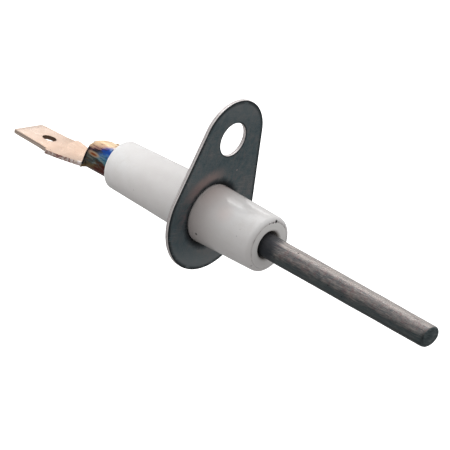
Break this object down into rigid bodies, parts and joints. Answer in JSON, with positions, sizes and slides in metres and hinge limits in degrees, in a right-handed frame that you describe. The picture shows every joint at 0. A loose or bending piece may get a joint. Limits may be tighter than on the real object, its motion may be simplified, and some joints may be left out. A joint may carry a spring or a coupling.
{
  "type": "ignition electrode",
  "caption": "Straight spark ignition electrode: a bare metal rod in a white tapered ceramic insulator, with a thin teardrop screw flange and a flat push-on tab crimped on the rear end.",
  "frame": {"origin": "on the electrode's axis, in the plane of the flange's front seating face", "axes": "+X along the electrode, towards the free tip of the rod; +Z from the axis to the flange's screw hole; +Y completes the right-handed frame, across the flat of the tab"},
  "size_m": [0.0673, 0.0146, 0.022],
  "materials": {
    "drawn_wire": "dull drawn wire, lightly oxidised",
    "glazed_ceramic": "off-white glaze, thinner and softer on the rear section",
    "dark_steel": "dark phosphated or oxidised sheet with bright cut edges",
    "copper_alloy": "satin copper alloy strip, heat tinted on the barrel",
    "cement": "matt refractory cement",
    "braze": "cast satin, oxidised"
  },
  "bodies": {
    "root": {"electrode_rod": "drawn_wire", "insulator": "glazed_ceramic", "mounting_flange": "dark_steel", "terminal_tab": "copper_alloy", "bore_cement": "cement", "braze_bead": "braze"}
  },
  "joints": []
}
